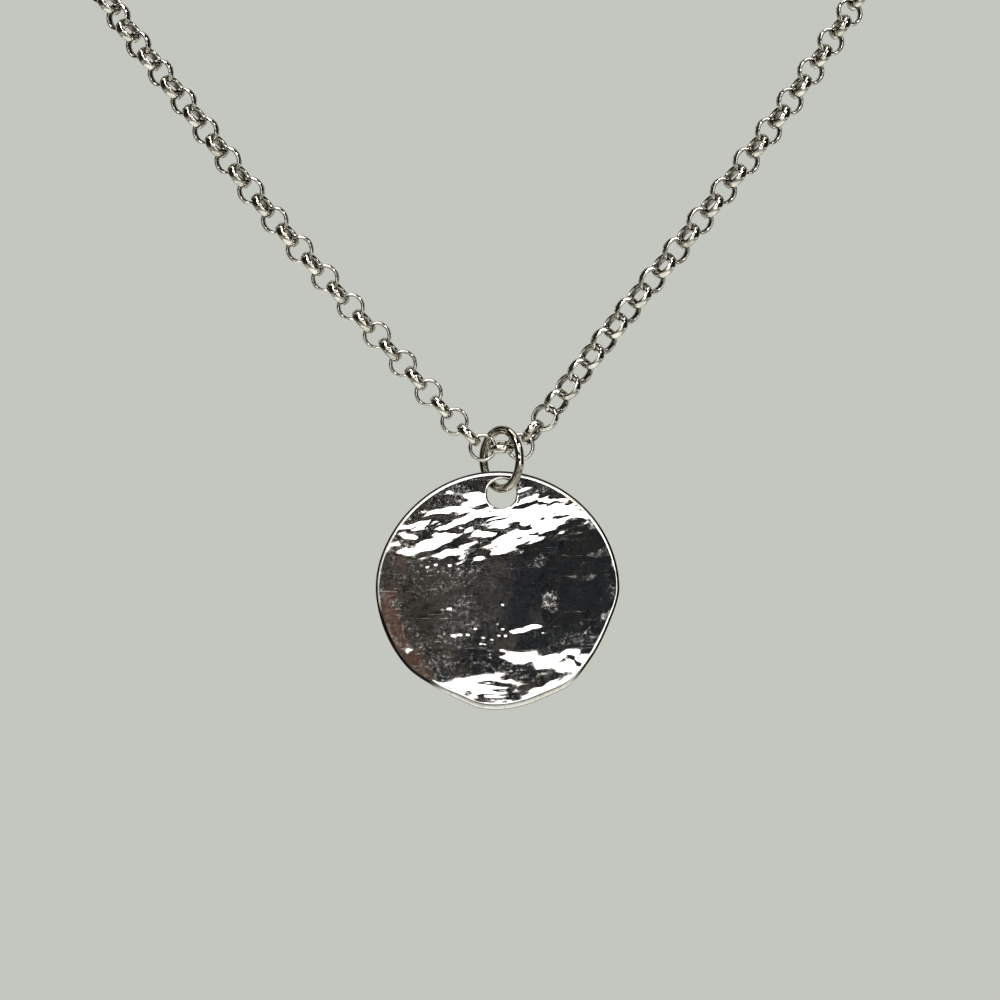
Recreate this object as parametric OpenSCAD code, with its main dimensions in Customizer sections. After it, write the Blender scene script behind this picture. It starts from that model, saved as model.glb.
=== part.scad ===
/* [Disc] */
// Diameter of the round disc
disc_d = 25; // [22:0.5:32]
// Thickness of the disc at its middle
disc_t = 1.1; // [1:0.05:1.2]
// Radius of the rounded rim
rim_r = 0.3; // [0.15:0.05:0.4]
// Width of the flattened slope along the lower rim
slope_w = 0.55; // [0.4:0.05:0.9]
// Height of the broad waves cast in the two faces
wave_h = 0.08; // [0:0.01:0.1]
// Distance from one broad wave to the next
wave_pitch = 5; // [4:0.5:9]
// Angle at which the waves climb to the right
wave_climb = 14; // [0:1:40]

/* [Hole] */
// Diameter of the hole for the jump ring
hole_d = 3; // [2.9:0.1:3.4]
// Metal between the hole and the top of the rim
hole_land = 0.85; // [0.8:0.05:1.1]
// Distance of the hole to the right of the disc's middle
hole_side = 0.4; // [0:0.1:0.6]
// Depth of the bevel round the hole
hole_bevel = 0.35; // [0.3:0.05:0.4]

/* [Jump ring] */
// Outside diameter of the jump ring
ring_d = 7; // [6.6:0.1:8]
// Thickness of its wire
ring_wire = 0.9; // [0.7:0.05:0.95]
// Angle that the ring is turned out of the disc's plane
ring_turn = 52; // [46:1:56]
// Room between the wire and the top of the hole
hole_play = 0.5; // [0.45:0.05:0.7]
// Clear height between the ring and the link that it hangs on
ring_play = 0.3; // [0.25:0.05:0.5]

/* [Chain] */
// Outside diameter of a link
link_d = 3; // [2.8:0.1:3.2]
// Width of a link's band
link_w = 0.9; // [0.7:0.05:0.95]
// Thickness of a link's band
link_t = 0.4; // [0.35:0.05:0.45]
// Play between two linked bands, pulled apart
link_play = 0.18; // [0.16:0.01:0.22]
// Share of the band's width that is flat
band_flat = 0.4; // [0.3:0.05:0.5]

/* [Clasp] */
// Diameter of the clasp's round body
clasp_d = 6; // [5.5:0.5:8]
// Thickness of the body's rod
clasp_rod = 1.1; // [0.9:0.1:1.2]
// Outside diameter of the eye beside the body
eye_d = 3; // [2.8:0.1:3.4]
// Thickness of the eye's wire
eye_wire = 0.7; // [0.6:0.05:0.75]

/* [Hidden] */

// The origin is the nape of the neck, +X the viewer's right, -Y the front and +Z up.
// Middle of the lowest link, where the pendant hangs
apex = [0, -112, -112];

// Routes of the two arms from the lowest link to the clasp, as distances from the apex.
// The first eight points of each show from the front, and the others pass round the neck.
right_route = [
    [0, 0, 0], [2.1, 0, 0.1], [4.6, 0, 3.2], [8.1, 0, 7.8], [13.5, 0, 14.7], [21, 0.8, 24], [28.6, 3, 34],
    [37.2, 7.5, 46.8], [47, 19, 64], [55, 38, 82], [57, 64, 97], [47, 90, 106], [25, 107, 111]
];
left_route = [
    [0, 0, 0], [-2.1, 0, 0], [-5.1, 0, 2.9], [-11, 0, 9.5], [-16.5, 0, 15.5], [-24.8, 0.8, 25.1],
    [-32.4, 3, 35.1], [-41.1, 7.5, 46.6], [-50, 19, 63], [-56, 38, 81], [-57, 64, 96], [-47, 90, 106], [-25, 107, 111]
];

// Turn of the links about the chain: columns are the number of links from the apex and the angle
apex_roll = 10;
right_roll = [[0, apex_roll], [1, 6], [2, 20], [3, 34], [4, 48], [15, 78], [30, 105], [110, 180]];
left_roll = [[0, apex_roll], [1, 0], [110, 0]];

// Outline of the disc: columns are the angle from the right, the reach as a share of the radius
// and the width of the slope as a share of slope_w
outline = [
    [0, 1.008, 0.7], [10, 1.01, 0.65], [30, 1.004, 0.65], [60, 0.994, 0.65], [90, 0.99, 0.65],
    [120, 0.988, 0.65], [135, 0.99, 0.65], [150, 0.998, 0.65], [175, 1.014, 0.65], [195, 1, 0.65],
    [212, 0.99, 0.65], [222, 0.984, 0.65], [235, 0.958, 0.75], [250, 0.96, 0.9], [261, 0.988, 1],
    [272, 0.988, 1], [284, 0.978, 1], [295, 0.971, 1], [308, 0.985, 0.8], [320, 0.963, 0.75],
    [333, 0.956, 0.7], [345, 0.967, 0.7], [355, 0.996, 0.7], [360, 1.008, 0.7]
];

// Section through the rim: columns are the distance in from the edge as a share of the slope's width,
// and the depth under the face as a share of the rim's radius
rim_section = [[0, 1], [0.08, 0.6], [0.3, 0.25], [0.62, 0.06], [1, 0]];

// Directions round the disc and rings across its face
disc_steps = 60;
face_rings = 8;

// How far the waves sway, as an angle, and the distance from one sway to the next
sway = 40;
sway_pitch = 40;

link_pitch = link_d - 2 * link_t - link_play;
link_mid = (link_d - link_t) / 2;
curve_steps = 16;

ring_mid = (ring_d - ring_wire) / 2;
// How far the ring falls away from its top over half a link
ring_fall = ring_mid - sqrt(ring_mid * ring_mid - link_d * link_d / 4);
// How far the lowest link's turn lifts its rim under the ring
link_rise = link_d / 2 * sin(apex_roll) * sin(ring_turn);
ring_top = apex + [0, 0, link_w / 2 + link_rise + ring_play + ring_fall + ring_wire / 2];
ring_centre = ring_top - [0, 0, ring_mid];
ring_bottom = ring_top - [0, 0, 2 * ring_mid];
hole_centre = ring_bottom - [0, 0, hole_d / 2 - hole_play - ring_wire / 2];
disc_centre = hole_centre - [hole_side, 0, disc_d / 2 * reach(90) - hole_land - hole_d / 2];

clasp_mid = (clasp_d - clasp_rod) / 2;
eye_mid = (eye_d - eye_wire) / 2;
// How far the eye is sunk into the body where the two are soldered
eye_sink = 0.75 * eye_wire;
eye_x = clasp_mid + clasp_rod / 2 + eye_d / 2 - eye_sink;
// Middles of the last links, which pass through the clasp's body and its eye
left_end = [-clasp_mid - (link_d / 2 - link_t - clasp_rod / 2 - link_play), 0, 0];
right_end = [eye_x + eye_mid + (link_d / 2 - link_t - eye_wire / 2 - link_play), 0, 0];

function reach(a) = lookup(a, [for (row = outline) [row[0], row[1]]]);
function slope(a) = slope_w * lookup(a, [for (row = outline) [row[0], row[2]]]);

// A smooth curve through the points p, as steps from point k to the next
function spline(a, b, c, d, t) =
    0.5 * (2 * b + (c - a) * t + (2 * a - 5 * b + 4 * c - d) * t * t + (3 * b - a - 3 * c + d) * t * t * t);
function curve(p) = [
    for (k = [0 : len(p) - 2], j = [0 : curve_steps - 1])
        spline(p[max(k - 1, 0)], p[k], p[k + 1], p[min(k + 2, len(p) - 1)], j / curve_steps),
    p[len(p) - 1]
];

// Running length along a curve, and the point at a given length
function lengths(c) = [for (i = 0, s = 0; i < len(c); i = i + 1, s = i < len(c) ? s + norm(c[i] - c[i - 1]) : s) s];
function at(c, run, s) = [for (axis = [0 : 2]) lookup(s, [for (i = [0 : len(c) - 1]) [run[i], c[i][axis]]])];
function unit(v) = v / norm(v);

module disc() {
    color([0.8, 0.79, 0.76])
        difference() {
            translate(disc_centre)
                rotate([90, 0, 0])
                    disc_blank();
            translate(hole_centre)
                rotate([90, 0, 0])
                    cylinder(d = hole_d, h = 2 * disc_t, center = true, $fn = 64);
            for (side = [-1, 1])
                translate(hole_centre + [0, side * disc_t / 2, 0])
                    rotate([-90 * side, 0, 0])
                        translate([0, 0, -hole_bevel])
                            cylinder(d1 = hole_d, d2 = hole_d + 4 * hole_bevel, h = 2 * hole_bevel, $fn = 64);
        }
}

// The disc without its hole, lying with its front face up
module disc_blank() {
    front = face_points(1);
    back = face_points(-1);
    rows = len(front) / disc_steps;
    count = rows * disc_steps;
    top = 2 * count;
    function next(i) = (i + 1) % disc_steps;
    points = concat(front, back, [[0, 0, disc_t / 2 + wave(0, 0)], [0, 0, -disc_t / 2 - wave(0, 0)]]);
    polyhedron(points, concat(
        [for (r = [0 : rows - 2], i = [0 : disc_steps - 1])
            each quad(r * disc_steps + i, r * disc_steps + next(i), (r + 1) * disc_steps + next(i),
                (r + 1) * disc_steps + i)],
        [for (r = [0 : rows - 2], i = [0 : disc_steps - 1])
            each quad(count + (r + 1) * disc_steps + i, count + (r + 1) * disc_steps + next(i),
                count + r * disc_steps + next(i), count + r * disc_steps + i)],
        [for (i = [0 : disc_steps - 1]) [count - disc_steps + next(i), count - disc_steps + i, top]],
        [for (i = [0 : disc_steps - 1]) [top - disc_steps + i, top - disc_steps + next(i), top + 1]],
        [for (i = [0 : disc_steps - 1])
            each quad(count + i, count + next(i), next(i), i)]
    ));
}

function quad(a, b, c, d) = [[d, b, a], [d, c, b]];

// Points of one face from the rim inwards, side is 1 for the front and -1 for the back
function face_points(side) = [
    for (row = rim_section, i = [0 : disc_steps - 1])
        let (a = 360 * i / disc_steps, r = disc_d / 2 * reach(a) - slope(a) * row[0])
            [r * cos(a), r * sin(a), side * (disc_t / 2 - rim_r * row[1])],
    for (k = [1 : face_rings - 1], i = [0 : disc_steps - 1])
        let (a = 360 * i / disc_steps, r = (disc_d / 2 * reach(a) - slope(a)) * (1 - k / face_rings))
            [r * cos(a), r * sin(a), side * (disc_t / 2 + wave(r * cos(a), r * sin(a)) * min(1, k / 2))]
];

// Height of the broad waves at a place on the face, which sway from left to right
function wave(x, y) =
    let (across = y * cos(wave_climb) - x * sin(wave_climb))
        wave_h / 2 * (sin(360 * across / wave_pitch + sway * sin(360 * x / sway_pitch)) - 1);

module jump_ring() {
    color([0.72, 0.71, 0.68])
        translate(ring_centre)
            rotate([90, 0, -ring_turn])
                rotate_extrude($fn = 72)
                    translate([ring_mid, 0])
                        circle(d = ring_wire, $fn = 32);
}

// One link with its own axis along Y, a band whose inner and outer edges are bevelled
module link() {
    flat = link_w * band_flat / 2;
    inside = link_d / 2 - link_t;
    outside = link_d / 2;
    rotate([90, 0, 0])
        rotate_extrude($fn = 36)
            polygon([[inside, -flat], [link_mid, -link_w / 2], [outside, -flat],
                [outside, flat], [link_mid, link_w / 2], [inside, flat]]);
}

// Places a link at c along t, facing away from the neck and rolled about the chain
module placed_link(c, t, roll) {
    out = c - neck_axis(c);
    face = unit(out - (out * t) * t);
    side = cross(face, t);
    across = cos(roll) * face + sin(roll) * side;
    up = cross(t, across);
    multmatrix([
        [t[0], across[0], up[0], c[0]],
        [t[1], across[1], up[1], c[1]],
        [t[2], across[2], up[2], c[2]],
        [0, 0, 0, 1]
    ])
        link();
}

// Point on the neck's upright axis level with c
function neck_axis(c) = [0, apex[1] / 2, c[2]];

// Links of one arm from first to the clasp, alternate ones turned a quarter round
module arm(route, end, roll_table, first) {
    path = curve(concat([for (p = route) apex + p], [end]));
    run = lengths(path);
    total = run[len(run) - 1];
    count = 2 * ceil(total / link_pitch / 2);
    step = total / count;
    function middle(i) = i <= 0 ? apex : at(path, run, i * step);
    for (i = [first : count]) {
        before = middle(i % 2 == 0 ? max(i - 1, 0) : i - 2);
        after = i % 2 == 0 ? middle(min(i + 1, count)) : middle(min(i + 2, count));
        c = i % 2 == 0 && i > 0 && i < count ? (middle(i - 1) + middle(i + 1)) / 2 : middle(i);
        placed_link(c, unit(after - before), lookup(i, roll_table) + 90 * (i + 1) % 180);
    }
}

module chain_left() {
    color([0.78, 0.77, 0.73])
        arm(left_route, left_end, left_roll, 0);
}

module chain_right() {
    color([0.78, 0.77, 0.73])
        arm(right_route, right_end, right_roll, 1);
}

module clasp() {
    color([0.75, 0.74, 0.71])
        rotate([90, 0, 0]) {
            rotate_extrude($fn = 64)
                translate([clasp_mid, 0])
                    circle(d = clasp_rod, $fn = 32);
            translate([eye_x, 0, 0])
                rotate_extrude($fn = 48)
                    translate([eye_mid, 0])
                        circle(d = eye_wire, $fn = 24);
        }
}

disc();
jump_ring();
chain_left();
chain_right();
clasp();
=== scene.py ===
import math

import bmesh
import bpy
import numpy as np
from mathutils import Matrix, Vector, noise


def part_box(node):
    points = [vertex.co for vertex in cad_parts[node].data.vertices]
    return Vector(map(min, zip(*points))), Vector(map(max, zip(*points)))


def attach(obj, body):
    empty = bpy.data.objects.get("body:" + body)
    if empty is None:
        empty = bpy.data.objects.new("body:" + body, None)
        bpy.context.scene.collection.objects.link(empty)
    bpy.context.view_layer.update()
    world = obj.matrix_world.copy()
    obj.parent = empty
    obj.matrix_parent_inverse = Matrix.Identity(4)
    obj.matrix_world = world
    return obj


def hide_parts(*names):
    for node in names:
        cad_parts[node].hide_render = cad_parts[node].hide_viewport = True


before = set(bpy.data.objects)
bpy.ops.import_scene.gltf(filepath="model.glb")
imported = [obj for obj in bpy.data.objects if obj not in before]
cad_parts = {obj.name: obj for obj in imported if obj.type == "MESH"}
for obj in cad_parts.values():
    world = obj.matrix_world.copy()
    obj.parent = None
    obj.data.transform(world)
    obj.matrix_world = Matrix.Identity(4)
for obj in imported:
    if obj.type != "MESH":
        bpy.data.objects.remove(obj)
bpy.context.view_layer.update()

# Lengths in the tables below are millimetres, apart from those of the studio
MM = 0.001

# One cast of the disc: the bends in its relief are drawn from this seed
CAST_SEED = 3
noise.seed_set(CAST_SEED)

# The disc, as it was cast. The land is the metal left between its hole and its top edge
DISC_RADIUS = 12.5
DISC_THICKNESS = 1.1
RIM_DEPTH = 0.3
RIM_WIDTH = 0.55
HOLE_RADIUS = 1.5
HOLE_ASIDE = 0.4
HOLE_LAND = 0.85

# The wire jump ring, and how far it is turned from the front about the upright
RING_WIRE = 0.9
RING_TURN = math.radians(52)

# A chain link's band
LINK_RADIUS = 1.5
BAND_THICKNESS = 0.4
BAND_WIDTH = 0.9

# The clasp's body and its eye
CLASP_ROD = 1.1
EYE_DIAMETER = 3.0
EYE_WIRE = 0.7

# Outline of the disc: angle from the right, reach as a share of the radius, share of the rim's width
OUTLINE = [
    (0, 1.008, 0.7), (10, 1.01, 0.7), (30, 1.004, 0.72), (60, 0.994, 0.75), (90, 0.99, 0.75),
    (120, 0.988, 0.75), (135, 0.99, 0.72), (150, 0.998, 0.72), (175, 1.014, 0.72), (195, 1.0, 0.7),
    (212, 0.99, 0.7), (222, 0.984, 0.7), (235, 0.958, 0.9), (250, 0.96, 1.1), (261, 0.988, 1.2),
    (272, 0.988, 1.2), (284, 0.978, 1.2), (295, 0.971, 1.15), (308, 0.985, 1.0), (320, 0.963, 0.8),
    (333, 0.956, 0.8), (345, 0.967, 0.75), (355, 0.996, 0.7), (360, 1.008, 0.7),
]
REACH = 1
RIM_SHARE = 2

# Edge of the hole: distance out from its wall, and depth under the face
HOLE_EDGE = [
    (0.24, 0.0), (0.19, 0.01), (0.14, 0.03), (0.09, 0.065), (0.045, 0.12), (0.015, 0.2), (0.0, 0.32),
]

# Places where the cast face leans, which its bright and dark shapes follow: middle to the right of and above
# the disc's middle, half length, half width, angle at which the place climbs, rise to the right and rise
# upwards. A later place lies over the earlier ones
LEANING = [
    (-11.9, 0.6, 2.3, 1.1, 84, -0.035, 0),
    (-11.0, -4.0, 3.6, 1.1, -74, 0.13, -0.01),
    (-8.4, -8.4, 3.8, 1.3, -50, 0.19, -0.01),
    (3.6, 7.9, 4.8, 1.1, 12, 0, -0.058),
    (7.6, 8.0, 1.9, 0.5, -14, 0, -0.058),
    (3.4, 6.3, 4.2, 0.9, 22, 0, -0.058),
    (1.9, 4.9, 2.8, 0.75, 16, 0, -0.06),
    (0.2, 4.6, 0.9, 0.9, 0, 0, -0.06),
    (-2.3, 6.1, 2.0, 0.34, -12, 0, -0.058),
    (-2.4, 9.5, 1.6, 0.8, 6, 0, -0.06),
    (-5.0, 10.2, 0.35, 0.16, 0, 0, -0.06),
    (-3.7, 8.3, 3.6, 0.34, 3, 0, -0.06),
    (-2.8, 7.6, 2.8, 0.3, 18, 0, -0.06),
    (2.9, 10.4, 1.0, 0.2, 22, 0, -0.06),
    (3.1, 9.3, 1.5, 0.26, 24, 0, -0.06),
    (-8.5, 6.7, 1.2, 0.5, 8, 0, -0.06),
    (-9.2, 5.6, 1.1, 0.45, -30, 0, -0.06),
    (-9.1, 4.1, 1.0, 0.5, 0, 0, -0.06),
    (-5.6, 6.5, 1.2, 0.22, 6, 0, -0.06),
    (-5.6, 5.7, 1.1, 0.2, 0, 0, -0.06),
    (-6.6, 4.9, 1.9, 0.55, 16, 0, -0.058),
    (-4.8, 3.9, 2.1, 0.32, 10, 0, -0.06),
    (-3.8, 3.1, 0.9, 0.26, 26, 0, -0.06),
    (-2.0, 3.3, 0.6, 0.3, 20, 0, -0.06),
    (-2.4, 5.2, 1.9, 0.5, -6, 0, 0.0),
    (-3.0, 4.7, 1.5, 0.16, 12, 0, -0.04),
    (1.1, 6.4, 1.2, 0.24, 6, 0, 0.0),
    (6.9, 7.7, 1.5, 0.16, 2, 0, 0.0),
    (4.7, 7.5, 0.25, 0.3, -40, 0, 0.0),
    (2.2, 5.3, 0.7, 0.11, 12, 0, 0.0),
    (5.6, 6.4, 1.6, 0.1, 20, 0, -0.005),
    (2.6, 8.6, 1.3, 0.1, 20, 0, -0.005),
    (-1.2, 8.1, 0.9, 0.09, 14, 0, -0.005),
    (-8.5, 6.6, 0.6, 0.1, 20, 0, -0.01),
    (2.8, -3.95, 1.9, 0.3, 12, 0, -0.07),
    (4.7, -4.45, 0.55, 0.15, 4, 0, -0.06),
    (-6.6, -2.4, 1.8, 0.12, 14, 0, -0.034),
    (1.7, -6.75, 1.3, 0.7, -8, 0, 0.08),
    (5.6, -7.5, 3.6, 1.0, -8, 0, 0.08),
    (8.2, -6.7, 1.8, 0.75, -8, 0, 0.08),
    (8.0, -7.3, 1.1, 0.16, -42, 0, -0.01),
    (4.9, -6.6, 0.35, 0.3, 0, 0, 0.01),
    (3.2, -7.7, 0.5, 0.2, 20, 0, 0.0),
    (-1.3, -10.1, 4.5, 1.3, -3, 0, 0.085),
    (6.0, -9.9, 3.2, 0.55, 26, 0, 0.08),
    (4.6, -8.9, 0.7, 1.1, -40, 0, -0.02),
    (3.1, -10.1, 0.28, 1.2, -42, 0, -0.02),
    (-0.4, -9.65, 1.8, 0.24, -5, 0, -0.05),
    (0.2, -10.3, 1.3, 0.18, -4, 0, -0.04),
    (-0.2, -11.0, 1.8, 0.26, 0, 0, -0.06),
    (1.35, -10.4, 0.26, 0.8, 0, 0, -0.05),
    (-3.9, -9.6, 0.35, 0.12, 45, 0, -0.01),
]

# The square sheet of heights: its step, half its side, and what a lean to the right counts beside one upwards
FACE_STEP = 0.04
FACE_REACH = 15.36
EVENNESS = 0.3

# Small places in the cast face that catch the light: right of and above the disc's middle
GLINTS = [
    (-4.6, -4.7), (-3.9, -4.6), (-3.1, -4.6), (-2.3, -4.0), (-1.5, -4.9), (-1.8, -5.5), (-1.3, -5.6),
    (-0.6, -5.1), (0.1, -4.7), (0.5, -4.0), (0.0, -3.5), (0.8, -4.7), (0.5, -1.5), (-5.0, -1.9),
    (-7.3, 2.4), (-6.4, 2.7), (-5.0, 2.6), (-9.4, 2.6), (-0.8, -6.6), (0.3, -6.5),
]
GLINT_RADIUS = 0.25
GLINT_REACH = 3 * GLINT_RADIUS
GLINT_LEAN = -0.085

# How the leaning places' edges stray: wave length and height, seed, farthest stray to the side and upwards
EDGE_BEND = (1.5, 1.2, 0.4, 0.3, 0.22)
EDGE_CURL = (0.7, 0.6, 6.4, 0.12, 0.1)

# Unevenness of the cast faces: rise, wave length, wave height, seed
RIPPLES = [(0.008, 3, 1.7, 4.4), (0.0022, 0.9, 0.55, 2.2), (0.0008, 0.4, 0.3, 7.2)]
UPPER_RIPPLES = [(0.013, 3, 0.9, 3.7), (0.01, 1.5, 0.45, 8.1), (0.0026, 1.3, 0.25, 6.6)]
LOWER_RIPPLES = [(0.014, 2, 1, 5.9)]
BACK_RIPPLES = [(0.05, 7, 3, 11.0), (0.022, 2.8, 1.5, 2.6), (0.006, 1.5, 0.8, 9.3)]
BACK_HOLLOW = -0.05

# The ripples climb to the right at this angle, and sway
RIPPLE_CLIMB = math.radians(14)
RIPPLE_SWAY = 0.35

# A slanting cut through the noise, so that its grain doesn't show
SLANT = ((0.8, -0.42), (0.36, 0.84), (0.48, -0.33))

# The upper ripples' band climbs and bends to the right. Its stretch, like the rim's below, is given by where
# it starts, where it is full, where it starts to end and where it has ended
BAND_CLIMB = 0.26
BAND_BEND = 0.016
UPPER_BAND = (1.6, 4.2, 8.5, 10.5)
LOWER_EDGE = (-5.0, -7.5)

# The face is clear right of and above these lines, apart from smears: their wave length, height and seed
CLEAR_RIGHT = (-1.8, 2.2)
CLEAR_ABOVE = (-5.5, -2.5)
CLEARNESS = 0.8
SMEARS = (2.2, 1.1, 5.1)
SMEAR_EDGE = (0.05, 0.4)
SMEAR_HAZE = 1.5

# The rim's satin finish and its painted shade by the angle round the disc: the pale lip below, which has a
# painted dark crease and painted shadow, the satin upper part, and the sides, where the painted dark line
# along the edge is wider
LIP_STRETCH = (232, 248, 304, 318)
SATIN_STRETCH = (8, 50, 184, 192)
WIDE_SHADING_STRETCH = (188, 196, 300, 320)

# The rim's satin finish and its painted shade by the turn of its section from the face to the side: the
# painted dark line along the outer edge, which fades at the very edge, the painted dark crease and the
# painted shadow on the lip
SATIN_TURN = (0, 6)
LINE_TURN = (23, 33)
WIDE_SHADING_TURN = (2, 14)
EDGE_TURN = (72, 88)
CREASE_TURN = (0, 3, 14, 26)
SHADE_TURN = (52, 66)
LIP_SATIN = 0.9
EDGE_FADE = 0.8
LIP_SHADE = 0.75

# Turns and rows of the disc's mesh, and how much closer its rows are near the hole and the rim
DISC_TURNS = 420
FACE_ROWS = 158
BACK_ROWS = 42
RIM_ROWS = 8
ROW_CROWDING = 0.3

# Steps round each hoop and round its section
RING_STEPS = (128, 28)
LINK_STEPS = (24, 8)
CLASP_STEPS = (96, 24)
EYE_STEPS = (64, 18)

# Distances within which points are one
SAME_POINT = 0.0001
SAME_CAD_POINT = 0.001

# Where a link counts as its inside, from the middle of its band, as shares of half the band
INSIDE = (-0.2, 0.9)

# Patterns in the metal: features in a metre, detail, roughness
CAST_STAIN = (160, 4, 0.6)
CAST_GRAIN = (2600, 3, 0.6)
CAST_HAZE = (330, 3, 0.6)
CAST_SPECKS = (2700, 4, 0.7)
CAST_SCRATCHES = (700, 3, 0.6)
WIRE_STAIN = (420, 4, 0.6)
WIRE_GRAIN = (3500, 3, 0.6)
LINK_STAIN = (900, 4, 0.65)
LINK_GRAIN = (4500, 3, 0.6)

# How the haze and the scratches are turned and drawn out
HAZE_TURN = (0, math.radians(14), 0)
HAZE_STRETCH = (0.6, 1, 1)
HAZE_DISTORTION = 0.4
SCRATCH_TURN = (0, math.radians(18), 0)
SCRATCH_STRETCH = (0.35, 1, 8)

# Colours of the metals from the most stained to the cleanest: place in the pattern, colour
CAST_SILVER = [(0.32, (0.7, 0.66, 0.6)), (0.48, (0.88, 0.86, 0.82)), (0.65, (0.94, 0.93, 0.9))]
CAST_SPOTS = [(0.3, 0.6), (0.48, 1.0)]
WIRE_SILVER = [(0.35, (0.2, 0.17, 0.13)), (0.5, (0.39, 0.37, 0.3)), (0.7, (0.6, 0.58, 0.51))]
LINK_SILVER = [(0.3, (0.34, 0.31, 0.25)), (0.5, (0.56, 0.54, 0.47)), (0.7, (0.71, 0.69, 0.63))]
LINK_TARNISH = [(0.3, 0.55), (0.7, 1.0)]
# Painted shade: the near-black that darkens the rim's colour, standing for dark reflections and shadow at its
# edge
RIM_PAINTED_SHADING = (0.012, 0.011, 0.01)
TARNISHED = (0.09, 0.083, 0.068)

# Roughness of the metals: place in the pattern, roughness or the share of it
SCRATCH_ROUGHNESS = [(0.5, 0.03), (0.64, 0.05), (0.72, 0.12)]
HAZE_SHARE = [(0.38, 0.15), (0.64, 1.0)]
SPECK_ROUGHNESS = [(0.4, 0.01), (0.56, 0.08), (0.7, 0.19)]
SATIN_ROUGHNESS = (0.42, 0.42, 0.42)
WIRE_ROUGHNESS = [(0.35, 0.04), (0.8, 0.11)]
LINK_ROUGHNESS = [(0.35, 0.03), (0.8, 0.1)]
TARNISH_ROUGHNESS = 0.15

# Depth of the fine grain in metres, and how strongly it shows
CAST_BUMP = (0.000008, 0.35)
WIRE_BUMP = (0.000012, 0.4)

# The studio, in metres: a round floor of pale paper
FLOOR_SIDES = 96
FLOOR_RADIUS = 3.6
FLOOR_HEIGHT = -0.95
PAPER = (0.76, 0.785, 0.72, 1)
PAPER_ROUGHNESS = 0.9

# Lamps: name, place, the point it faces, size, power
LAMPS = [
    ("key", (-0.7, -1.3, 1.6), (0, -0.11, -0.12), (0.5, 0.5), 28),
    ("side_light", (1.0, -0.9, 1.1), (0, -0.11, -0.1), (0.3, 0.3), 8),
]
CEILING_POWER = 1.9
CEILING_ANGLE = 0.7

# The camera stands this far in front of the jump ring, and sees this width there
CAMERA_AWAY = 0.6
SEEN_WIDTH = 0.1037
CAMERA_X = -0.00016
CAMERA_Z = -0.11749
SEEN_END = 50

# The sensor's width in millimetres
SENSOR_WIDTH = 36

# The studio's dark room, which the metal mirrors, from a darker to a lighter shade of each part
WARM_ROOM = ((0.009, 0.008, 0.008), (0.122, 0.109, 0.1))
COOL_ROOM = ((0.002, 0.003, 0.005), (0.034, 0.038, 0.044))
OLIVE_ROOM = ((0.009, 0.01, 0.008), (0.035, 0.036, 0.03))
LOW_ROOM = ((0.03, 0.03, 0.027), (0.95, 0.96, 0.9))
BACK_ROOM = ((0.035, 0.034, 0.03), (0.95, 0.95, 0.91))
BACKGROUND = (0.552, 0.571, 0.521, 1)

# Clouds in those shades: number across the room, and the values between which they change
ROOM_CLOUDS = (90, 0.4, 0.64)
LOW_CLOUDS = (7, 0.44, 0.54)
BACK_CLOUDS = (16, 0.46, 0.56)
CLOUD_DETAIL = 3

# Where the parts of the room change: upwards, to the right and to the back
HORIZON = (-0.008, 0.006)
ROOM_MIDDLE = (-0.01, 0.01)
LOW_EDGE = (-0.27, -0.24)
BACK_EDGE = (0.5, 0.6)

# Panels in the room: range to the right, range to the back, range upwards, softness of the edge, light
WORLD_PANELS = [
    ((-2, 2), (-2, 2), (-1.1, -0.75), 0.08, (1.35, 1.35, 1.27)),
    ((-0.5, 0.5), (-2, 0), (0.2, 0.75), 0.06, (0.03, 0.03, 0.026)),
    ((-0.5, 0.15), (-2, 0), (0.34, 0.62), 0.04, (2.4, 2.4, 2.3)),
    ((-0.44, -0.12), (-2, 0), (-0.2, 0.03), 0.06, (0.105, 0.062, 0.044)),
    ((0.42, 0.52), (-2, 0), (-0.3, 0.7), 0.02, (3.0, 3.0, 2.9)),
    ((-0.55, 0.38), (-2, 0), (0.05, 0.15), 0.006, (3.4, 3.4, 3.35)),
    ((-0.1, 0.38), (-2, 0), (-0.26, -0.11), 0.01, (2.6, 2.6, 2.55)),
]


# Small helpers
def smooth(low, high, value):
    """0 below low and 1 above high, with a soft change between them."""
    t = min(max((value - low) / (high - low), 0.0), 1.0)
    return t * t * (3 - 2 * t)


def within(stretch, value):
    """1 in the middle of a stretch and 0 outside it."""
    start, full, last, end = stretch
    return smooth(start, full, value) * (1 - smooth(last, end, value))


def middle(node):
    low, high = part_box(node)
    return (low + high) / 2


def add_object(name, data):
    obj = bpy.data.objects.new(name, data)
    bpy.context.scene.collection.objects.link(obj)
    return obj


def finish_mesh(name, bm, material):
    """Makes an object of the mesh, with its one material."""
    mesh = bpy.data.meshes.new(name)
    bm.to_mesh(mesh)
    bm.free()
    mesh.materials.append(material)
    return add_object(name, mesh)


def finish_piece(name, bm, material, body, node):
    """Makes a smooth piece of the mesh, which rides on its body and stands for the CAD node."""
    bmesh.ops.recalc_face_normals(bm, faces=bm.faces)
    piece = finish_mesh(name, bm, material)
    piece.data.shade_smooth()
    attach(piece, body)
    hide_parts(node)


# Shader nodes
def plug(tree, value, socket):
    """Sets a socket to a number or a colour, or links what another node gives."""
    if isinstance(value, tuple):
        socket.default_value = (*value, 1)
    elif isinstance(value, (int, float)):
        socket.default_value = value
    else:
        tree.links.new(value, socket)


def combine(tree, operation, first, second):
    node = tree.nodes.new("ShaderNodeMath")
    node.operation = operation
    plug(tree, first, node.inputs[0])
    plug(tree, second, node.inputs[1])
    return node.outputs[0]


def mix_colours(tree, share, first, second, mode="MIX"):
    node = tree.nodes.new("ShaderNodeMix")
    node.data_type = "RGBA"
    node.blend_type = mode
    plug(tree, share, node.inputs[0])
    plug(tree, first, node.inputs[6])
    plug(tree, second, node.inputs[7])
    return node.outputs[2]


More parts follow.
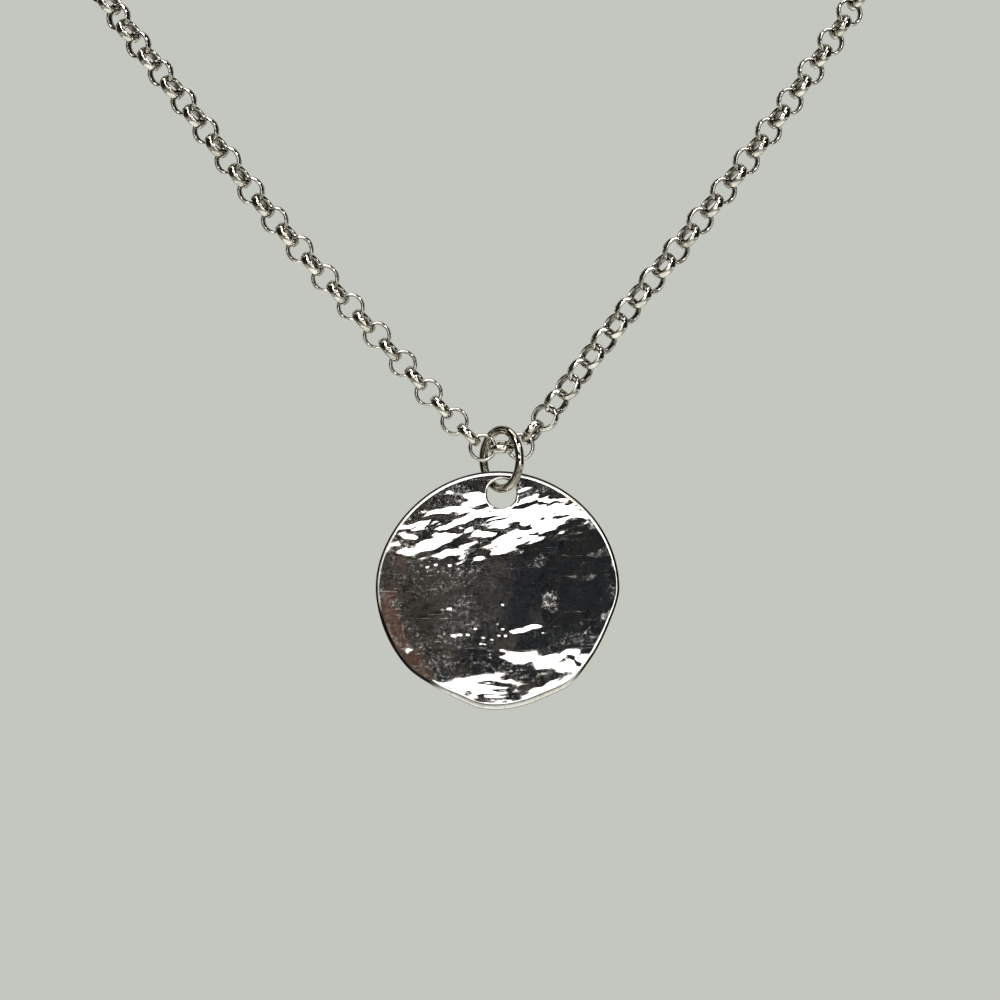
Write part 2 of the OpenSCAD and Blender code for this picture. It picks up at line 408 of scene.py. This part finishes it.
def pattern(tree, place, scale, detail, rough, turn=None, stretch=None, distortion=0.0):
    """Noise on the piece's own place, which may be turned and drawn out."""
    texture = tree.nodes.new("ShaderNodeTexNoise")
    texture.inputs["Scale"].default_value = scale
    texture.inputs["Detail"].default_value = detail
    texture.inputs["Roughness"].default_value = rough
    texture.inputs["Distortion"].default_value = distortion
    if stretch:
        mapping = tree.nodes.new("ShaderNodeMapping")
        mapping.inputs["Rotation"].default_value = turn
        mapping.inputs["Scale"].default_value = stretch
        tree.links.new(place, mapping.inputs["Vector"])
        place = mapping.outputs["Vector"]
    tree.links.new(place, texture.inputs["Vector"])
    return texture.outputs["Fac"]


def attribute(tree, name):
    node = tree.nodes.new("ShaderNodeAttribute")
    node.attribute_name = name
    return node.outputs["Fac"]


def ramp(tree, value, stops):
    """A colour ramp: stops are (place, grey) or (place, (red, green, blue))."""
    node = tree.nodes.new("ShaderNodeValToRGB")
    elements = node.color_ramp.elements
    while len(elements) < len(stops):
        elements.new(0.5)
    for element, (place, colour) in zip(elements, stops):
        element.position = place
        element.color = (*colour, 1) if isinstance(colour, tuple) else (colour, colour, colour, 1)
    tree.links.new(value, node.inputs["Fac"])
    return node.outputs["Color"]


def bump(tree, height, distance, strength):
    node = tree.nodes.new("ShaderNodeBump")
    node.inputs["Strength"].default_value = strength
    node.inputs["Distance"].default_value = distance
    tree.links.new(height, node.inputs["Height"])
    return node.outputs["Normal"]


# Materials
def start_metal(name):
    """A new metal, its node tree, its shader's sockets and the place on the piece."""
    material = bpy.data.materials.new(name)
    material.use_nodes = True
    tree = material.node_tree
    sockets = tree.nodes["Principled BSDF"].inputs
    sockets["Metallic"].default_value = 1.0
    place = tree.nodes.new("ShaderNodeTexCoord")
    return material, tree, sockets, place.outputs["Object"]


def disc_material():
    """Mirror polish over cast silver, with fine scratches, hazy places and faint stains, and painted shade
    darkening the rim's colour.
    """
    material, tree, sockets, place = start_metal("polished_cast_silver")
    stain = pattern(tree, place, *CAST_STAIN)
    grain = pattern(tree, place, *CAST_GRAIN)
    haze = pattern(tree, place, *CAST_HAZE, HAZE_TURN, HAZE_STRETCH, HAZE_DISTORTION)
    specks = pattern(tree, place, *CAST_SPECKS)
    scratches = pattern(tree, place, *CAST_SCRATCHES, SCRATCH_TURN, SCRATCH_STRETCH)
    spots = ramp(tree, specks, CAST_SPOTS)
    silver = mix_colours(tree, 1.0, ramp(tree, stain, CAST_SILVER), spots, "MULTIPLY")
    # Painted shade: the rim's dark line, crease and lip shadow are mixed into the base colour
    plug(tree, mix_colours(tree, attribute(tree, "painted_rim_shading"), silver, RIM_PAINTED_SHADING), sockets["Base Color"])
    dull = combine(tree, "MULTIPLY", ramp(tree, haze, HAZE_SHARE), ramp(tree, specks, SPECK_ROUGHNESS))
    dull = combine(tree, "MULTIPLY", dull, attribute(tree, "haze"))
    polish = combine(tree, "ADD", ramp(tree, scratches, SCRATCH_ROUGHNESS), dull)
    plug(tree, mix_colours(tree, attribute(tree, "satin"), polish, SATIN_ROUGHNESS), sockets["Roughness"])
    plug(tree, bump(tree, grain, *CAST_BUMP), sockets["Normal"])
    return material


def wire_material():
    """Bright drawn wire that has gone olive and brown in places."""
    material, tree, sockets, place = start_metal("drawn_silver_wire")
    stain = pattern(tree, place, *WIRE_STAIN)
    grain = pattern(tree, place, *WIRE_GRAIN)
    plug(tree, ramp(tree, stain, WIRE_SILVER), sockets["Base Color"])
    plug(tree, ramp(tree, grain, WIRE_ROUGHNESS), sockets["Roughness"])
    plug(tree, bump(tree, grain, *WIRE_BUMP), sockets["Normal"])
    return material


def chain_material():
    """Polished on the outside of each link, darker on the inside where polish doesn't reach."""
    material, tree, sockets, place = start_metal("polished_chain_silver")
    stain = pattern(tree, place, *LINK_STAIN)
    grain = pattern(tree, place, *LINK_GRAIN)
    tarnish = combine(tree, "MULTIPLY", attribute(tree, "recess"), ramp(tree, stain, LINK_TARNISH))
    plug(tree, mix_colours(tree, tarnish, ramp(tree, stain, LINK_SILVER), TARNISHED), sockets["Base Color"])
    rough = combine(tree, "MULTIPLY", tarnish, TARNISH_ROUGHNESS)
    plug(tree, combine(tree, "ADD", rough, ramp(tree, grain, LINK_ROUGHNESS)), sockets["Roughness"])
    plug(tree, bump(tree, grain, *WIRE_BUMP), sockets["Normal"])
    return material


# Shape of the cast faces
def leaning_height():
    """Heights of the one sheet that leans as nearly as it can in the way that the table says."""
    steps = np.arange(-FACE_REACH, FACE_REACH, FACE_STEP)
    x, y = np.meshgrid(steps, steps)
    to_right = np.zeros_like(x)
    upwards = np.zeros_like(x)
    for right, up, length, width, climb, lean_right, lean_up in LEANING:
        angle = math.radians(climb)
        along = (x - right) * math.cos(angle) + (y - up) * math.sin(angle)
        across = (y - up) * math.cos(angle) - (x - right) * math.sin(angle)
        share = np.exp(-(((along / length) ** 2 + (across / width) ** 2) ** 2))
        to_right += share * (lean_right - to_right)
        upwards += share * (lean_up - upwards)
    turns = 2 * math.pi * np.fft.fftfreq(len(steps), FACE_STEP)
    turns_x, turns_y = np.meshgrid(turns, turns)
    weight = EVENNESS * turns_x**2 + turns_y**2
    weight[0, 0] = 1
    pull = EVENNESS * turns_x * np.fft.fft2(to_right) + turns_y * np.fft.fft2(upwards)
    return np.real(np.fft.ifft2(-1j * pull / weight))


FACE_HEIGHT = leaning_height()


def sheet_height(x, y):
    """Height of the leaning sheet at a place, even between its steps."""
    right = (x + FACE_REACH) / FACE_STEP
    up = (y + FACE_REACH) / FACE_STEP
    column = int(right)
    row = int(up)
    right -= column
    up -= row
    low, high = FACE_HEIGHT[row, column : column + 2]
    low_above, high_above = FACE_HEIGHT[row + 1, column : column + 2]
    return (low + (high - low) * right) * (1 - up) + (low_above + (high_above - low_above) * right) * up


def stray(x, y, length, height, seed, aside, upwards):
    """How far an edge strays here to the side and upwards, and one more value that wanders with them."""
    bend = noise.noise_vector(Vector((x / length, y / height, seed)))
    return aside * bend.x, upwards * bend.y, bend.z


def waves(x, y, length, height, seed):
    """Soft unevenness from -1 to 1 with waves of a length and height."""
    along = x / length
    up = y / height
    right, deep, over = (to_right * along + upwards * up for to_right, upwards in SLANT)
    return noise.noise(Vector((right, deep, over + seed)))


def ripples(table, x, y):
    return sum(rise * waves(x, y, length, height, seed) for rise, length, height, seed in table)


def face_relief(x, y):
    """Height of the front face above its plane at x to the right and y above the disc's middle."""
    bend_aside, bend_up, sway = stray(x, y, *EDGE_BEND)
    curl_aside, curl_up, _ = stray(x, y, *EDGE_CURL)
    height = sheet_height(x + bend_aside + curl_aside, y + bend_up + curl_up)
    along = x * math.cos(RIPPLE_CLIMB) + y * math.sin(RIPPLE_CLIMB)
    across = y * math.cos(RIPPLE_CLIMB) - x * math.sin(RIPPLE_CLIMB) + RIPPLE_SWAY * sway
    upper = within(UPPER_BAND, y - BAND_CLIMB * x - BAND_BEND * x * x)
    height += upper * ripples(UPPER_RIPPLES, along, across)
    height += smooth(*LOWER_EDGE, y) * ripples(LOWER_RIPPLES, along, across)
    height += ripples(RIPPLES, along, across)
    for glint_x, glint_y in GLINTS:
        away = (x - glint_x) ** 2 + (y - glint_y) ** 2
        if away < GLINT_REACH**2:
            height += GLINT_LEAN * (y - glint_y) * math.exp(-away / GLINT_RADIUS**2)
    return height


def back_relief(x, y):
    """Height of the back face, which was cast with the same broad waves."""
    across = y * math.cos(RIPPLE_CLIMB) + x * math.sin(RIPPLE_CLIMB)
    return BACK_HOLLOW + ripples(BACK_RIPPLES, x, across)


# Making the disc
def outline_value(column, angle):
    """A smooth closed curve through one column of the outline's rows."""
    rows = OUTLINE[:-1]
    angle %= 360
    k = max(i for i, row in enumerate(rows) if row[0] <= angle)
    keys = []
    values = []
    for step in (-1, 0, 1, 2):
        turn, i = divmod(k + step, len(rows))
        keys.append(rows[i][0] + 360 * turn)
        values.append(rows[i][column])
    span = keys[2] - keys[1]
    t = (angle - keys[1]) / span
    start = (values[2] - values[0]) / (keys[2] - keys[0]) * span
    end = (values[3] - values[1]) / (keys[3] - keys[1]) * span
    return (
        values[1] * (2 * t**3 - 3 * t**2 + 1)
        + start * (t**3 - 2 * t**2 + t)
        + values[2] * (3 * t**2 - 2 * t**3)
        + end * (t**3 - t**2)
    )


def disc_rows():
    """The front and the back of the disc's section, from the hole across the front, round the rim and back
    to the hole. Each row is (side, share across the face, distance out from the hole's wall, inset from the
    rim's edge, depth, rim's turn)."""
    hole_edge = [(0.0, out, None, depth, 0) for out, depth in reversed(HOLE_EDGE)]
    for side, count in ((1, FACE_ROWS), (-1, BACK_ROWS)):
        rows = list(hole_edge)
        for k in range(1, count + 1):
            share = k / (count + 1)
            share -= ROW_CROWDING * math.sin(2 * math.pi * share) / (2 * math.pi)
            rows.append((share, None, None, 0.0, 0))
        for k in range(RIM_ROWS + 1):
            angle = math.pi / 2 * k / RIM_ROWS
            depth = RIM_DEPTH * (1 - math.cos(angle))
            rows.append((1.0, None, 1 - math.sin(angle), depth, math.degrees(angle)))
        rows = [(side, *row) for row in rows]
        yield rows if side > 0 else rows[::-1]


def rim_satin_and_painted_shading(place, turn):
    """How satin the rim is, and how much painted shade darkens its colour (a dark line along the edge, a dark
    crease and shadow on the lip), at a place round the disc and a turn from the face to the side.
    """
    lip = within(LIP_STRETCH, place)
    wide_shading = within(WIDE_SHADING_STRETCH, place) * (1 - lip)
    satin = smooth(*SATIN_TURN, turn) * max(within(SATIN_STRETCH, place), LIP_SATIN * lip)
    painted_outer_shading = max(smooth(*LINE_TURN, turn), wide_shading * smooth(*WIDE_SHADING_TURN, turn))
    painted_outer_shading *= (1 - EDGE_FADE * smooth(*EDGE_TURN, turn)) * (1 - lip)
    painted_seam_shading = within(CREASE_TURN, turn) * lip
    painted_lip_shadow = LIP_SHADE * smooth(*SHADE_TURN, turn) * lip
    return satin, max(painted_outer_shading, painted_seam_shading, painted_lip_shadow)


def haziness(x, y):
    """How hazy the polish is: all of it at the left and below, and only smears in the clear part."""
    clear = smooth(*CLEAR_RIGHT, x) * smooth(*CLEAR_ABOVE, y)
    return 1 - clear * (CLEARNESS - SMEAR_HAZE * smooth(*SMEAR_EDGE, waves(x, y, *SMEARS)))


def build_disc(material):
    front, back = disc_rows()
    rows = front + back
    top = DISC_RADIUS * outline_value(REACH, 90)
    hole = Vector((HOLE_ASIDE, top - HOLE_LAND - HOLE_RADIUS))
    rim = []
    for step in range(DISC_TURNS):
        place = 360 * step / DISC_TURNS
        heading = Vector((math.cos(math.radians(place)), math.sin(math.radians(place))))
        reach = DISC_RADIUS * outline_value(REACH, place)
        rim.append((place, heading, reach, RIM_WIDTH * outline_value(RIM_SHARE, place)))
    bm = bmesh.new()
    bmesh.ops.create_grid(bm, x_segments=DISC_TURNS, y_segments=len(rows), size=0.5)
    satin = bm.verts.layers.float.new("satin")
    # Painted shade on the rim, kept on each vertex for the material
    painted_rim_shading = bm.verts.layers.float.new("painted_rim_shading")
    haze = bm.verts.layers.float.new("haze")
    for vert in bm.verts:
        place, heading, reach, width = rim[round((vert.co.x + 0.5) * DISC_TURNS) % DISC_TURNS]
        side, share, out, inset, depth, turn = rows[round((vert.co.y + 0.5) * len(rows)) % len(rows)]
        if out is not None:
            spot = hole + heading * (HOLE_RADIUS + out)
        elif inset is not None:
            spot = heading * (reach - width * inset)
            vert[satin], vert[painted_rim_shading] = rim_satin_and_painted_shading(place, turn)
        else:
            inner = hole + heading * (HOLE_RADIUS + HOLE_EDGE[0][0])
            spot = inner.lerp(heading * (reach - width), share)
        vert[haze] = haziness(*spot)
        relief = face_relief(*spot) if side > 0 else back_relief(*spot)
        height = side * (DISC_THICKNESS / 2 - depth + relief)
        vert.co = Vector((spot.x, -height, spot.y)) * MM
    bmesh.ops.remove_doubles(bm, verts=bm.verts, dist=SAME_POINT * MM)
    low = Vector(min(v.co[i] for v in bm.verts) for i in range(3))
    high = Vector(max(v.co[i] for v in bm.verts) for i in range(3))
    seat = middle("disc") - (low + high) / 2
    seat.y = middle("disc").y
    bmesh.ops.translate(bm, vec=seat, verts=bm.verts)
    finish_piece("disc_cast", bm, material, "pendant", "disc")


# Making the wire ring, the links and the clasp
def hoop(bm, radius, width, thickness, turns, sides):
    """A round hoop about Z at the origin, of an oval section; returns its new vertices."""
    made = bmesh.ops.create_circle(bm, cap_ends=False, segments=sides, radius=0.5)["verts"]
    bmesh.ops.rotate(bm, cent=(0, 0, 0), matrix=Matrix.Rotation(math.pi / 2, 3, "X"), verts=made)
    bmesh.ops.scale(bm, vec=(thickness, 1, width), verts=made)
    bmesh.ops.translate(bm, vec=(radius, 0, 0), verts=made)
    edges = list({edge for vert in made for edge in vert.link_edges})
    before = set(bm.verts) - set(made)
    bmesh.ops.spin(
        bm, geom=made + edges, cent=(0, 0, 0), axis=(0, 0, 1), angle=2 * math.pi, steps=turns, use_merge=True
    )
    return [vert for vert in bm.verts if vert not in before]


def wire_hoop(bm, diameter, wire, steps):
    """A hoop of round wire, measured across its outside."""
    return hoop(bm, (diameter - wire) / 2, wire, wire, *steps)


def build_ring(material):
    low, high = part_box("jump_ring")
    bm = bmesh.new()
    verts = wire_hoop(bm, high.z - low.z, RING_WIRE * MM, RING_STEPS)
    turn = Matrix.Rotation(-RING_TURN, 4, "Z") @ Matrix.Rotation(math.pi / 2, 4, "X")
    bmesh.ops.transform(bm, matrix=Matrix.Translation((low + high) / 2) @ turn, verts=verts)
    finish_piece("jump_ring_wire", bm, material, "ring", "jump_ring")


def link_places(node):
    """Middle and own axis of each link of a CAD chain."""
    bm = bmesh.new()
    bm.from_mesh(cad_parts[node].data)
    bmesh.ops.remove_doubles(bm, verts=bm.verts, dist=SAME_CAD_POINT * MM)
    seen = set()
    places = []
    for start in bm.verts:
        if start in seen:
            continue
        seen.add(start)
        group = [start]
        for vert in group:
            for edge in vert.link_edges:
                other = edge.other_vert(vert)
                if other not in seen:
                    seen.add(other)
                    group.append(other)
        points = np.array([vert.co for vert in group])
        centre = points.mean(0)
        axis = np.linalg.svd(points - centre, full_matrices=False)[2][2]
        places.append((Vector(centre), Vector(axis)))
    bm.free()
    return places


def build_chain(node, material):
    radius = (LINK_RADIUS - BAND_THICKNESS / 2) * MM
    one = bmesh.new()
    hoop(one, radius, BAND_WIDTH * MM, BAND_THICKNESS * MM, *LINK_STEPS)
    recess = one.verts.layers.float.new("recess")
    for vert in one.verts:
        inwards = (radius - math.hypot(vert.co.x, vert.co.y)) / (BAND_THICKNESS / 2 * MM)
        vert[recess] = smooth(*INSIDE, inwards)
    link_mesh = bpy.data.meshes.new("link")
    one.to_mesh(link_mesh)
    one.free()
    bm = bmesh.new()
    for centre, axis in link_places(node):
        count = len(bm.verts)
        bm.from_mesh(link_mesh)
        bm.verts.ensure_lookup_table()
        stand = Matrix.Translation(centre) @ axis.to_track_quat("Z", "Y").to_matrix().to_4x4()
        bmesh.ops.transform(bm, matrix=stand, verts=bm.verts[count:])
    bpy.data.meshes.remove(link_mesh)
    finish_piece(node + "_links", bm, material, "chain", node)


def build_clasp(material):
    low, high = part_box("clasp")
    bm = bmesh.new()
    wire_hoop(bm, high.z - low.z, CLASP_ROD * MM, CLASP_STEPS)
    eye = wire_hoop(bm, EYE_DIAMETER * MM, EYE_WIRE * MM, EYE_STEPS)
    bmesh.ops.translate(bm, vec=(high.x - EYE_DIAMETER / 2 * MM, 0, 0), verts=eye)
    bmesh.ops.rotate(bm, cent=(0, 0, 0), matrix=Matrix.Rotation(math.pi / 2, 3, "X"), verts=bm.verts)
    finish_piece("clasp_rod", bm, material, "chain", "clasp")


# Stage, lights, surroundings and camera
def build_stage():
    """A round pale floor, well under the hanging pendant."""
    paper = bpy.data.materials.new("pale_paper")
    paper.use_nodes = True
    sockets = paper.node_tree.nodes["Principled BSDF"].inputs
    sockets["Base Color"].default_value = PAPER
    sockets["Roughness"].default_value = PAPER_ROUGHNESS
    bm = bmesh.new()
    bmesh.ops.create_circle(bm, cap_ends=True, segments=FLOOR_SIDES, radius=FLOOR_RADIUS)
    bmesh.ops.translate(bm, vec=(0, 0, FLOOR_HEIGHT), verts=bm.verts)
    floor = finish_mesh("floor", bm, paper)
    floor.visible_glossy = False


def build_lights():
    """Two soft lamps that the camera doesn't see, and an even light from above."""
    for name, place, target, size, power in LAMPS:
        lamp = bpy.data.lights.new(name, "AREA")
        lamp.shape = "RECTANGLE"
        lamp.size, lamp.size_y = size
        lamp.energy = power
        stand = add_object(name, lamp)
        stand.location = place
        stand.rotation_euler = (Vector(target) - Vector(place)).to_track_quat("-Z", "Y").to_euler()
        stand.visible_camera = False
    ceiling = bpy.data.lights.new("ceiling", "SUN")
    ceiling.energy = CEILING_POWER
    ceiling.angle = CEILING_ANGLE
    add_object("ceiling", ceiling)


def build_world():
    """Studio surroundings in a dark room. Each panel is a patch of the room."""
    world = bpy.data.worlds.new("studio")
    bpy.context.scene.world = world
    world.use_nodes = True
    tree = world.node_tree
    tree.nodes.clear()
    place = tree.nodes.new("ShaderNodeTexCoord").outputs["Generated"]
    split = tree.nodes.new("ShaderNodeSeparateXYZ")
    tree.links.new(place, split.inputs[0])
    right, back, up = split.outputs

    def step(value, low, high):
        node = tree.nodes.new("ShaderNodeMapRange")
        node.interpolation_type = "SMOOTHSTEP"
        node.inputs["From Min"].default_value = low
        node.inputs["From Max"].default_value = high
        tree.links.new(value, node.inputs["Value"])
        return node.outputs["Result"]

    def clouds(scale, low, high):
        node = tree.nodes.new("ShaderNodeTexNoise")
        node.inputs["Scale"].default_value = scale
        node.inputs["Detail"].default_value = CLOUD_DETAIL
        tree.links.new(place, node.inputs["Vector"])
        return step(node.outputs["Fac"], low, high)

    def window(value, low, high, soft):
        return combine(tree, "SUBTRACT", step(value, low - soft, low), step(value, high, high + soft))

    cloud = clouds(*ROOM_CLOUDS)
    warm = mix_colours(tree, cloud, *WARM_ROOM)
    cool = mix_colours(tree, cloud, *COOL_ROOM)
    olive = mix_colours(tree, cloud, *OLIVE_ROOM)
    below = mix_colours(tree, step(right, *ROOM_MIDDLE), warm, cool)
    room = mix_colours(tree, step(up, *HORIZON), below, olive)
    above_low = step(up, *LOW_EDGE)
    room = mix_colours(tree, above_low, mix_colours(tree, clouds(*LOW_CLOUDS), *LOW_ROOM), room)
    behind = combine(tree, "MULTIPLY", step(back, *BACK_EDGE), above_low)
    room = mix_colours(tree, behind, room, mix_colours(tree, clouds(*BACK_CLOUDS), *BACK_ROOM))
    for right_range, back_range, up_range, soft, colour in WORLD_PANELS:
        across = combine(tree, "MULTIPLY", window(right, *right_range, soft), window(back, *back_range, soft))
        panel = combine(tree, "MULTIPLY", across, window(up, *up_range, soft))
        room = mix_colours(tree, panel, room, colour)
    light = tree.nodes.new("ShaderNodeBackground")
    tree.links.new(room, light.inputs["Color"])
    seen = tree.nodes.new("ShaderNodeBackground")
    seen.inputs["Color"].default_value = BACKGROUND
    path = tree.nodes.new("ShaderNodeLightPath")
    both = tree.nodes.new("ShaderNodeMixShader")
    out = tree.nodes.new("ShaderNodeOutputWorld")
    tree.links.new(path.outputs["Is Camera Ray"], both.inputs[0])
    tree.links.new(light.outputs[0], both.inputs[1])
    tree.links.new(seen.outputs[0], both.inputs[2])
    tree.links.new(both.outputs[0], out.inputs["Surface"])


def build_camera():
    """Level with the pendant, far enough away for the photograph's flat look."""
    data = bpy.data.cameras.new("camera")
    data.sensor_width = SENSOR_WIDTH
    data.lens = SENSOR_WIDTH * CAMERA_AWAY / SEEN_WIDTH
    data.clip_end = SEEN_END
    camera = add_object("camera", data)
    camera.location = (CAMERA_X, middle("jump_ring").y - CAMERA_AWAY, CAMERA_Z)
    camera.rotation_euler = (math.pi / 2, 0, 0)
    bpy.context.scene.camera = camera


build_camera()
build_stage()
build_world()
build_lights()

wire_silver = wire_material()
chain_silver = chain_material()
build_disc(disc_material())
build_ring(wire_silver)
build_chain("chain_left", chain_silver)
build_chain("chain_right", chain_silver)
build_clasp(wire_silver)

bpy.context.scene.view_settings.view_transform = "Standard"
